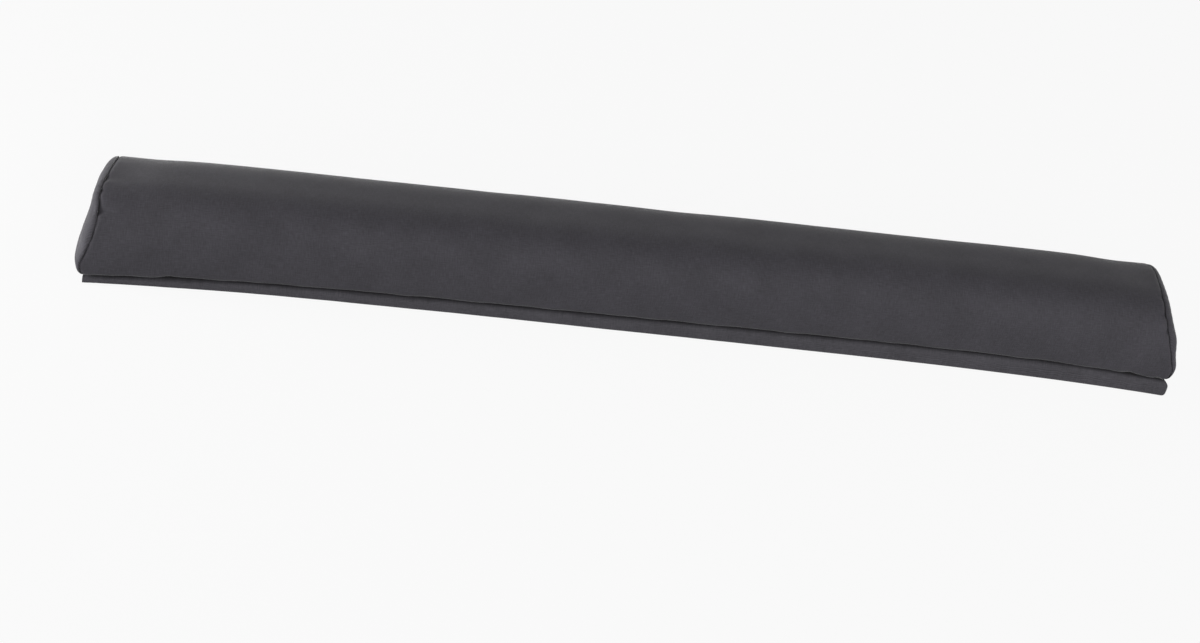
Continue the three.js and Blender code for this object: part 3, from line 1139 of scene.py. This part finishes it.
    def foam(self) -> bpy.types.Object:
        """Builds the foam block inside the cover: the same form drawn in, closed by pillowed ends.

        Returns:
            The block.
        """
        form = self.form
        inset = form.cloth + self.stuffed.cap + FOAM_CLEARANCE
        over, under, count = 61, 24, 10
        end_inset = form.seam_depth + inset
        ends = [self.stuffed.end_rings(side, over, under, count, end_inset) for side in Side]
        for end, side in zip(ends, Side):
            end[..., 0] -= side.value * inset
        y, h, edge_x = form.outline(inset, over, under)
        x = np.linspace(-1, 1, 60)[:, None] * (edge_x[None, :] - form.seam_roll - inset)
        body = np.stack([x, np.broadcast_to(y, x.shape), np.broadcast_to(h, x.shape)], axis=-1)
        rings = np.concatenate([ends[0][:-1][::-1], body, ends[1][:-1]])
        placed = form.settle(rings)
        poles = form.settle(np.stack([ends[0][-1, 0], ends[1][-1, 0]]))
        flat = np.concatenate([placed.reshape(-1, 3), poles])
        width, rows = over + under, len(rings)
        ring = np.arange(width)
        first = np.stack([np.full(width, rows * width), ring, np.roll(ring, -1)], axis=-1)
        tail = ring + (rows - 1) * width
        last = np.stack([np.full(width, rows * width + 1), np.roll(tail, -1), tail], axis=-1)
        quads, caps = grid_faces(rows, width, closed=True), np.concatenate([first, last])
        return mesh_piece("foam_block", flat, quads, caps, flat[:, :2])


# Thread


Point = tuple[float, float, float]


@dataclass(frozen=True)
class Stitching:
    """Rows of thread stitches: short capsules, half sunk into the cloth."""

    stitch: float = 3.0 * MM
    pitch: float = 3.8 * MM
    thread: float = 0.5 * MM

    def row(self, start: Point, end: Point) -> np.ndarray:
        """Lists a straight row's stitches.

        Args:
            start: the row's first place.
            end: its last one.

        Returns:
            Stitches by two ends by three.
        """
        first, last = np.array(start), np.array(end)
        length = np.linalg.norm(last - first)
        count = int(length / self.pitch)
        middles = (np.arange(count) + 0.5) / count
        half = self.stitch / 2 / length
        tips = [first + (last - first) * (middles + way * half)[:, None] for way in (-1, 1)]
        return np.stack(tips, axis=1)

    def build(self, name: str, stitches: np.ndarray, up: Point) -> bpy.types.Object:
        """Builds all stitches as one piece: rings of six points round each, closed at both tips.

        Args:
            name: the piece's name.
            stitches: stitches by two ends by three.
            up: the direction out of the cloth.

        Returns:
            The piece.
        """
        start, end = stitches[:, 0], stitches[:, 1]
        along = end - start
        length = np.linalg.norm(along, axis=1, keepdims=True)
        along = along / length
        out = np.broadcast_to(np.array(up, float), along.shape)
        across = np.cross(along, out)
        places = np.array([0.02, 0.12, 0.5, 0.88, 0.98])
        radii = self.thread / 2 * np.array([0.45, 0.9, 1.0, 0.9, 0.45])
        lift = self.thread / 2 * np.array([-0.9, -0.2, 0.35, -0.2, -0.9])
        angle = (np.arange(6) * np.pi / 3)[:, None]
        line = start[:, None] + along[:, None] * (length * places)[..., None]
        centre = line + out[:, None] * lift[:, None]
        round_it = across[:, None, None] * np.cos(angle) + out[:, None, None] * np.sin(angle)
        rings = centre[:, :, None] + round_it * radii[None, :, None, None]
        points = rings.reshape(-1, 3)
        block = np.arange(30).reshape(5, 6)
        beside = np.roll(block, -1, axis=1)
        quads = np.stack([block[:-1], block[1:], beside[1:], beside[:-1]], axis=-1).reshape(-1, 4)
        caps = np.array([[0, 5, 4, 3], [0, 3, 2, 1], [24, 25, 26, 27], [24, 27, 28, 29]])
        one = np.concatenate([quads[:, ::-1], caps[:, ::-1]])
        faces = (one[None] + 30 * np.arange(len(start))[:, None, None]).reshape(-1, 4)
        return mesh_piece(name, points, faces, np.zeros((0, 3), int), points[:, :2])


# The wrap under the cushion


@dataclass(frozen=True)
class WrapForm:
    """The closed wrap: a wall down from each crease seam and a flap that runs under the pad."""

    half_length: float
    cloth: float
    free_y: float
    front_z: float
    rear_z: float
    bulge: float = 4.2 * MM  # how far the walls stand out from the crease seams
    corner: float = 4.4 * MM  # radius of the fold at a wall's foot
    fullness: float = 3.0  # a superellipse's power
    free_corner: float = 12 * MM  # radius at the corners of the free edges
    step_run: float = 6.5 * MM  # width of the step where the rear flap climbs
    step_clearance: float = 1 * MM  # from the front flap's free edge to the step
    puff: float = 0.9 * MM  # height of the waves along a wall
    gather: float = 0.8 * MM  # depth of the gathers at its ends
    end_roll: float = 2.4 * MM
    end_reach: float = 3.2 * MM  # how far the rolled end of the walls stands out past the flaps
    seam_gap: float = 0.2 * MM  # between a wall and its crease seam
    arc_share: float = 0.45  # of the wall's height that each of its arcs may take
    quarter_points: int = 15
    gather_fade: float = 12 * MM
    rim_roundness: float = 0.55 * MM


@dataclass(frozen=True)
class Wrap:
    """The two flaps of the wrap, closed on each other, with their tapes and thread."""

    cover: CoverForm  # the walls hang from its crease seams
    form: WrapForm
    sewing: Stitching = Stitching()
    sewing_margin: float = 2 * MM  # from a tape's edge to its row of stitches

    @classmethod
    def packed(cls, cover: CoverForm) -> "Wrap":
        """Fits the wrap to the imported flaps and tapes.

        Args:
            cover: the cover's form, whose crease seams the walls meet.

        Returns:
            The wrap.
        """
        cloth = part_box("hook_tape")[0][2]
        high, tape_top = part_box("front_flap")[1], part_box("loop_tape")[1][2]
        return cls(cover, WrapForm(high[0], cloth, high[1], cloth / 2, tape_top + cloth / 2))

    def build(self, finishes: Finishes) -> None:
        """Builds and dresses the flaps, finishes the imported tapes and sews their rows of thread.

        Args:
            finishes: the materials.
        """
        for side, name, under in ((Side.LOW, "front_flap", []), (Side.HIGH, "rear_flap", ["loop_tape"])):
            flap = self.flap(side, f"{name}_cloth")
            dress(flap, finishes.wrap, "wrap_cloth", name)
        for node, material in (("hook_tape", finishes.hook), ("loop_tape", finishes.loop)):
            tape = bpy.data.objects[node]
            tape.data.materials.clear()
            tape.data.materials.append(material)
        tape_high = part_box("hook_tape")[1]
        end, edge = tape_high[0] - self.sewing_margin, tape_high[1] - self.sewing_margin
        over = self.form.rear_z + self.form.cloth / 2
        for name, z, up in (("tape_thread_below", 0, -1), ("tape_thread_above", over, 1)):
            rows = [((-end, y, z), (end, y, z)) for y in (-edge, edge)]
            rows += [((x, -edge, z), (x, edge, z)) for x in (-end, end)]
            stitches = np.concatenate([self.sewing.row(*row) for row in rows])
            dress(self.sewing.build(name, stitches, (0, 0, up)), finishes.thread, "wrap_cloth")

    def wall(self, x: np.ndarray, side: Side) -> tuple[np.ndarray, np.ndarray, np.ndarray]:
        """Works out the wall's middle line at each station.

        It goes out from the crease seam round a quarter of a superellipse, down with a puff, and in
        round another quarter at the foot. Neither quarter is taller than a share of the wall.

        Args:
            x: stations along the pad.
            side: which wall.

        Returns:
            Distance from the middle, height, and how far down the wall each point is, from 0 to 1.
        """
        form, cover = self.form, self.cover
        half_cloth = form.cloth / 2
        seam_y = cover.half_width - cover.tuck - cover.waist_at(x)[:, None]
        top_z = (cover.crease_at(x) - cover.droop_at(x))[:, None] - form.seam_gap - half_cloth
        tall = top_z - half_cloth
        upper_r, foot_r = form.bulge - half_cloth, form.corner - half_cloth
        tallest = form.arc_share * tall
        upper_h, foot_h = np.minimum(upper_r, tallest), np.minimum(foot_r, tallest)
        foot = np.linspace(0, np.pi / 2, form.quarter_points)
        upper = foot[::-1]
        power = 2 / form.fullness
        down = np.linspace(0, 1, 9)[None, 1:-1]
        wall_y = seam_y + upper_r
        start_z, end_z = top_z - upper_h, half_cloth + foot_h
        out, fall = np.abs(np.cos(upper)) ** power, np.sin(upper) ** power
        back, sink = np.abs(np.cos(foot)) ** power, np.sin(foot) ** power
        lines_y = (seam_y + upper_r * out, wall_y + 0 * down, wall_y - foot_r * (1 - back))
        lines_z = (start_z + upper_h * fall, start_z + (end_z - start_z) * down, end_z - foot_h * sink)
        y, z = np.concatenate(lines_y, axis=1), np.concatenate(lines_z, axis=1)
        share = np.clip((top_z - z) / tall, 0, 1)
        hump = np.sin(np.pi * share)
        seed = 41 if side is Side.LOW else 51
        waves = form.puff * (0.45 + 0.5 * ripple(x, 90 * MM, seed) + 0.22 * ripple(x, 26 * MM, seed + 1))
        near_end = np.exp(-(form.half_length - np.abs(x)) / form.gather_fade)
        waves = waves - form.gather * near_end * gathers(x, 4.5 * MM, seed + 2)
        return y + waves[:, None] * hump, z, share

    def flap(self, side: Side, name: str) -> bpy.types.Object:
        """Builds a flap: its wall, its run under the pad, and rounded corners at its free edge.

        The rear flap climbs over the front one by a cosine. At the pad's high end the walls' ends
        stand out past the flaps, most of all half-way down, as a fourth power.

        Args:
            side: which flap.
            name: the piece's name.

        Returns:
            The piece.
        """
        form = self.form
        stations = Stations.make(depth=8 * MM, steps=10, middle=240)
        flat_x = stations.x(np.array([form.half_length]))[:, 0]
        y, z, share = self.wall(flat_x, side)
        if side is Side.LOW:
            run = np.linspace(0, 1, 26)[None, 1:]
            run_y = y[:, -1:] + (form.free_corner - form.free_y - y[:, -1:]) * run
            run_z = np.full_like(run_y, form.front_z)
        else:
            foot = form.free_y + form.step_clearance + form.step_run
            before, over, after = (np.linspace(0, 1, count)[None, 1:] for count in (6, 15, 16))
            first_y = y[:, -1:] + (foot - y[:, -1:]) * before
            second_y = np.repeat(foot - form.step_run * over, len(y), axis=0)
            head = foot - form.step_run
            last_y = head + (form.free_corner - form.free_y - head) * after
            climb = (1 - np.cos(over * np.pi)) / 2
            run_y = np.concatenate([first_y, second_y, np.repeat(last_y, len(y), axis=0)], axis=1)
            levels = [0 * before, climb, 1 + 0 * after]
            height = form.front_z + (form.rear_z - form.front_z) * np.concatenate(levels, axis=1)
            run_z = np.repeat(height, len(y), axis=0)
        turn = np.linspace(0, np.pi / 2, 13)[None, 1:]
        tip_y = np.repeat(form.free_corner * (1 - np.sin(turn)) - form.free_y, len(y), axis=0)
        tip_z = np.repeat(run_z[:, -1:], tip_y.shape[1], axis=1)
        y = np.concatenate([y, run_y, tip_y], axis=1)
        z = np.concatenate([z, run_z, tip_z], axis=1)
        corner = form.free_corner * (1 - np.cos(turn[0]))
        back = np.concatenate([np.zeros(share.shape[1] + run_y.shape[1]), corner])
        middle = len(stations.share) // 2
        rolled = np.zeros_like(back)
        rolled[: share.shape[1]] = form.end_roll * np.abs(2 * share[middle] - 1) ** 4 - form.end_reach
        length = form.half_length - stations.back[:, None] - back
        place = stations.share[:, None]
        x = np.where(place > 0, length - rolled, length) * place
        points = np.stack([x, side.value * y, z], axis=-1)
        along = np.linalg.norm(np.diff(points[middle], axis=0), axis=1)
        arc = np.broadcast_to(np.concatenate([[0], np.cumsum(along)]), x.shape)
        uv = np.stack([x, arc], axis=-1)
        # Painted shade: darkens the wall's colour along its top, next to the crease seam.
        painted_shade = near_seam(arc, 2.2 * MM)
        if side is Side.HIGH:
            points, uv, painted_shade = points[::-1], uv[::-1], painted_shade[::-1]
        piece = sheet_piece(name, points, uv, painted_shade)
        thicken(piece, form.cloth, 0, form.rim_roundness)
        return piece


# The studio


@dataclass(frozen=True)
class Camera:
    """A pinhole camera, held by the angles and the focal length that fit the photograph."""

    azimuth: float = 9.42
    elevation: float = 33.4
    roll: float = 11.3
    distance: float = 1.269
    focal_pixels: float = 1931.0
    target: tuple[float, float, float] = (-0.0215, 0.0, -0.016)

    def place(self) -> None:
        """Makes the camera: it looks along the azimuth, down by the elevation, turned by the roll."""
        azimuth, elevation, roll = np.radians([self.azimuth, self.elevation, self.roll])
        level = np.cos(elevation)
        looking = Vector((np.sin(azimuth) * level, np.cos(azimuth) * level, -np.sin(elevation)))
        right = looking.cross(Vector((0, 0, 1))).normalized()
        up = right.cross(looking)
        turned_right = right * np.cos(roll) + up * np.sin(roll)
        turned_up = up * np.cos(roll) - right * np.sin(roll)
        data = bpy.data.cameras.new("camera")
        data.sensor_width = SENSOR_WIDTH
        data.lens = self.focal_pixels / IMAGE_WIDTH * SENSOR_WIDTH
        data.clip_start, data.clip_end = 0.01, 30
        camera = bpy.data.objects.new("camera", data)
        axes = Matrix((turned_right, turned_up, -looking)).transposed().to_4x4()
        camera.matrix_world = Matrix.Translation(Vector(self.target) - looking * self.distance) @ axes
        bpy.context.scene.collection.objects.link(camera)
        bpy.context.scene.camera = camera


@dataclass(frozen=True)
class Lamp:
    """A round soft light that faces the pad."""

    name: str
    place: tuple[float, float, float]
    power: float
    size: float

    def build(self) -> None:
        """Makes the light."""
        light = bpy.data.lights.new(self.name, "AREA")
        light.shape = "DISK"
        light.size = self.size
        light.energy = self.power
        lamp = bpy.data.objects.new(self.name, light)
        lamp.location = self.place
        lamp.rotation_euler = (-Vector(self.place)).to_track_quat("-Z", "Y").to_euler()
        bpy.context.scene.collection.objects.link(lamp)


@dataclass(frozen=True)
class Studio:
    """A white floor and backdrop with plain soft light."""

    floor_size: float = 8.0
    floor_grey: float = 0.5
    backdrop_share: float = 0.92
    sky: float = 0.17
    lamps: tuple[Lamp, ...] = (
        Lamp("front_key", (0.4, -2.7, 0.9), 76.0, 2.0),
        Lamp("back_fill", (-0.5, 2.6, 0.35), 8.0, 1.2),
        Lamp("left_fill", (-1.05, -0.02, 0.16), 11.0, 0.26),
        Lamp("right_fill", (2.6, -0.9, 0.6), 20.0, 1.0),
    )

    def build(self) -> None:
        """Makes the floor, the world and the lamps."""
        self.floor()
        self.world()
        for lamp in self.lamps:
            lamp.build()

    def seen(self, bench: NodeBench) -> bpy.types.NodeSocket:
        """Tells the rays that see the studio from those that light the object.

        Args:
            bench: the tree to add the nodes to.

        Returns:
            1 for camera, glossy and transmitted rays, and 0 for the others.
        """
        path = bench.add("ShaderNodeLightPath")
        some = bench.math("MAXIMUM", path.outputs["Is Camera Ray"], path.outputs["Is Glossy Ray"])
        return bench.math("MAXIMUM", some, path.outputs["Is Transmission Ray"])

    def floor(self) -> None:
        """Makes the floor, which keeps the object's shadow under a share of plain white."""
        half = self.floor_size / 2
        line = np.linspace(-half, half, 5)
        x, y = np.meshgrid(line, line, indexing="ij")
        grid = np.stack([x, y, np.zeros_like(x)], axis=-1)
        floor = sheet_piece("floor", grid, grid[..., :2])
        bench = MaterialBench("floor_white")
        paper = bench.add("ShaderNodeBsdfDiffuse", {"Color": (*[self.floor_grey] * 3, 1)})
        white = bench.add("ShaderNodeEmission")
        share = bench.math("MULTIPLY", self.seen(bench), self.backdrop_share)
        both = bench.add("ShaderNodeMixShader", {0: share, 1: paper.outputs[0], 2: white.outputs[0]})
        bench.add("ShaderNodeOutputMaterial", {"Surface": both.outputs[0]})
        floor.data.materials.append(bench.material)

    def world(self) -> None:
        """Makes the world: soft light all round, and white where it is seen."""
        world = bpy.data.worlds.new("studio")
        bpy.context.scene.world = world
        world.use_nodes = True
        bench = NodeBench(world.node_tree)
        strength = bench.math("MULTIPLY_ADD", self.seen(bench), 1 - self.sky, self.sky)
        background = bench.add("ShaderNodeBackground", {"Color": (1, 1, 1, 1), "Strength": strength})
        bench.add("ShaderNodeOutputWorld", {"Surface": background.outputs[0]})


# Putting it together


def packed_cover() -> CoverForm:
    """Fits the cover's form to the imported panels, settled on the wrap and not yet blown up.

    Returns:
        The form.
    """
    high, base_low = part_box("top_panel")[1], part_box("base_panel")[0]
    crown = high[2] - base_low[2] - CROWN_SLACK
    return CoverForm(high[0], high[1], base_low[2] - SEAT_SETTLE, crown)


def main() -> None:
    """Builds the pad, the studio and the camera."""
    logging.basicConfig(level=logging.INFO, format="%(name)s: %(message)s")
    bpy.context.scene.view_settings.view_transform = "Standard"
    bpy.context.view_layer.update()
    Camera().place()
    finishes = Finishes.make()
    cover = packed_cover()
    Cushion(cover).build(finishes)
    Wrap.packed(cover).build(finishes)
    Studio().build()


if __name__ == "__main__":
    main()
